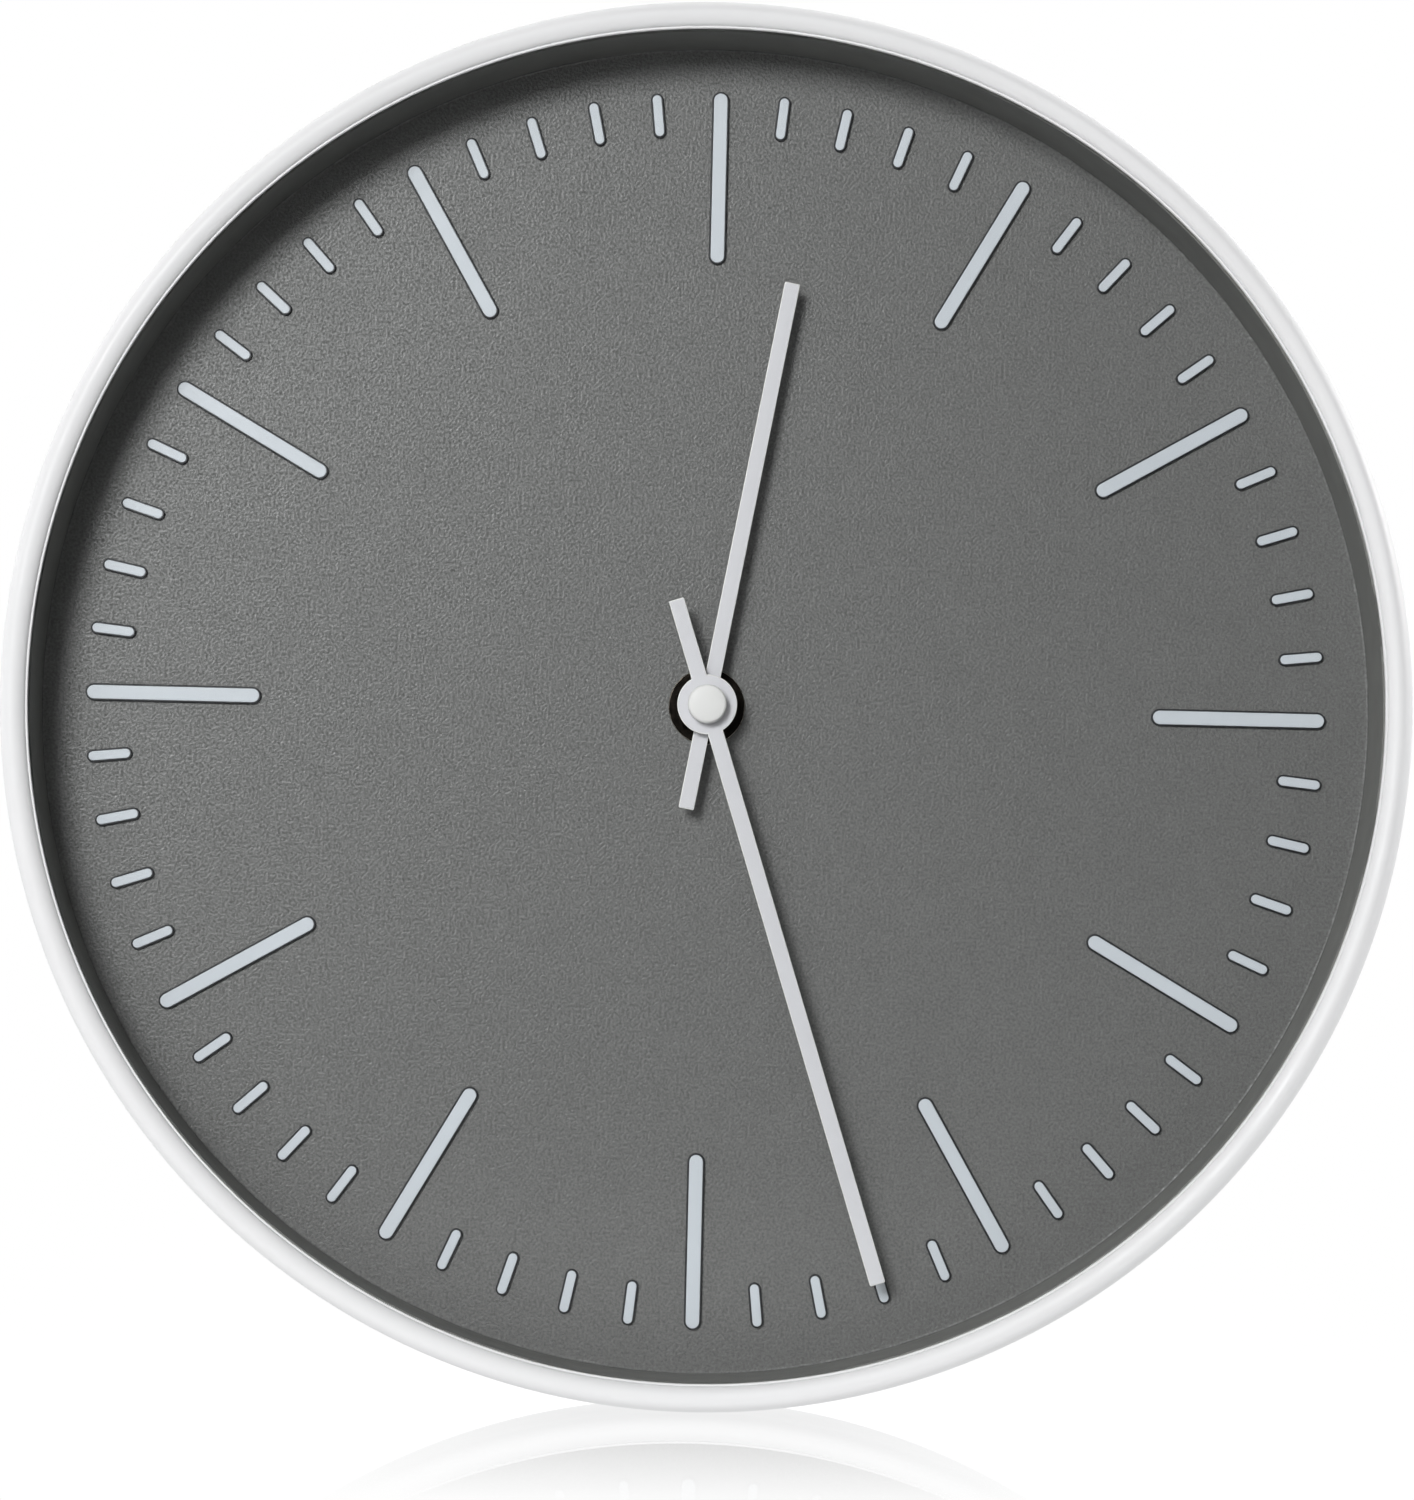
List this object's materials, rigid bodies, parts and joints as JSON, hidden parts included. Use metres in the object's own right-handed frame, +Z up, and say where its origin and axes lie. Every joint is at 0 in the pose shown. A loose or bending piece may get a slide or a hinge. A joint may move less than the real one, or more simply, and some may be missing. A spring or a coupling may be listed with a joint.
{
  "type": "wall clock",
  "caption": "Round wall clock with a white rim, a recessed grey dial with raised bar markers behind glass, baton hands, and a battery quartz movement hung from a keyhole plate.",
  "frame": {"origin": "centre of the hanger plate's round hole, on the wall plane", "axes": "+Z up, +Y into the wall, the dial faces -Y, +X to the right as the clock is read"},
  "size_m": [0.305, 0.045, 0.305],
  "materials": {
    "rim_white": "satin white moulded plastic",
    "dial_grey": "fine-grained grey moulded plastic",
    "marker_light": "satin light grey print on raised bars",
    "lens_clear": "clear flat glass with a ground edge",
    "hand_white": "satin light lacquer on pressed aluminium",
    "cap_white": "satin white plastic",
    "brass": "bright turned",
    "nut_metal": "darkened turned metal",
    "steel": "bright zinc-plated",
    "iron": "bare electrical iron",
    "magnet": "sintered dark grey",
    "rubber": "soft black",
    "movement_black": "fine-textured black moulded plastic",
    "gear_white": "natural acetal",
    "copper": "enamelled copper wire",
    "board_green": "solder-masked laminate",
    "resin": "black resin",
    "nickel": "nickel-plated spring strip",
    "battery_jacket": "shrunk film jacket with bright end caps"
  },
  "bodies": {
    "case": {"frame_ring": "rim_white", "lens": "lens_clear", "dial_tray": "dial_grey", "hour_markers": "marker_light", "minute_markers": "marker_light", "hanger_plate": "steel", "hanger_screws": "steel", "rubber_washer": "rubber", "dial_washer": "nut_metal", "hex_nut": "nut_metal", "movement_base": "movement_black", "movement_cover": "movement_black", "train_bridge": "gear_white", "bridge_screws": "steel", "stator": "iron", "coil_core": "iron", "coil_bobbin": "gear_white", "coil_winding": "copper", "circuit_board": "board_green", "quartz_crystal": "nickel", "timer_chip": "resin", "contact_positive": "nickel", "contact_negative": "nickel"},
    "minute": {"minute_hand": "hand_white", "minute_hand_bush": "brass", "centre_cap": "cap_white", "minute_pipe": "gear_white", "centre_wheel": "gear_white"},
    "hour": {"hour_hand": "hand_white", "hour_hand_bush": "brass", "hour_wheel": "gear_white"},
    "motion": {"minute_wheel": "gear_white"},
    "knob": {"setting_knob": "gear_white"},
    "third": {"third_wheel": "gear_white"},
    "seconds": {"seconds_wheel": "gear_white"},
    "fifth": {"fifth_wheel": "gear_white"},
    "rotor": {"rotor_pinion": "gear_white", "rotor_magnet": "magnet"},
    "cell": {"battery": "battery_jacket"}
  },
  "joints": [
    {"name": "minute_turn", "type": "hinge", "parent": "case", "child": "minute", "pos_m": [0, 0, -0.116], "axis": [0, 1, 0], "continuous": true},
    {"name": "hour_turn", "type": "hinge", "parent": "case", "child": "hour", "pos_m": [0, 0, -0.116], "axis": [0, 1, 0], "continuous": true},
    {"name": "motion_turn", "type": "hinge", "parent": "case", "child": "motion", "pos_m": [0.00789, 0, -0.11313], "axis": [0, 1, 0], "continuous": true},
    {"name": "knob_turn", "type": "hinge", "parent": "case", "child": "knob", "pos_m": [0.01502, 0, -0.10715], "axis": [0, 1, 0], "continuous": true},
    {"name": "third_turn", "type": "hinge", "parent": "case", "child": "third", "pos_m": [-0.00779, 0, -0.1115], "axis": [0, 1, 0], "continuous": true},
    {"name": "seconds_turn", "type": "hinge", "parent": "case", "child": "seconds", "pos_m": [0, 0, -0.116], "axis": [0, 1, 0], "continuous": true},
    {"name": "fifth_turn", "type": "hinge", "parent": "case", "child": "fifth", "pos_m": [0.00396, 0, -0.10914], "axis": [0, 1, 0], "continuous": true},
    {"name": "rotor_turn", "type": "hinge", "parent": "case", "child": "rotor", "pos_m": [0.00274, 0, -0.10225], "axis": [0, 1, 0], "continuous": true},
    {"name": "battery_lift", "type": "slide", "parent": "case", "child": "cell", "axis": [0, 1, 0], "range_m": [0, 0.03]}
  ],
  "couplings": [
    {"joint": "hour_turn", "follows": "minute_turn", "ratio": 0.083333},
    {"joint": "motion_turn", "follows": "minute_turn", "ratio": -0.33333},
    {"joint": "knob_turn", "follows": "minute_turn", "ratio": 0.7},
    {"joint": "third_turn", "follows": "minute_turn", "ratio": -8},
    {"joint": "seconds_turn", "follows": "minute_turn", "ratio": 60},
    {"joint": "fifth_turn", "follows": "minute_turn", "ratio": -300},
    {"joint": "rotor_turn", "follows": "minute_turn", "ratio": 1800}
  ]
}
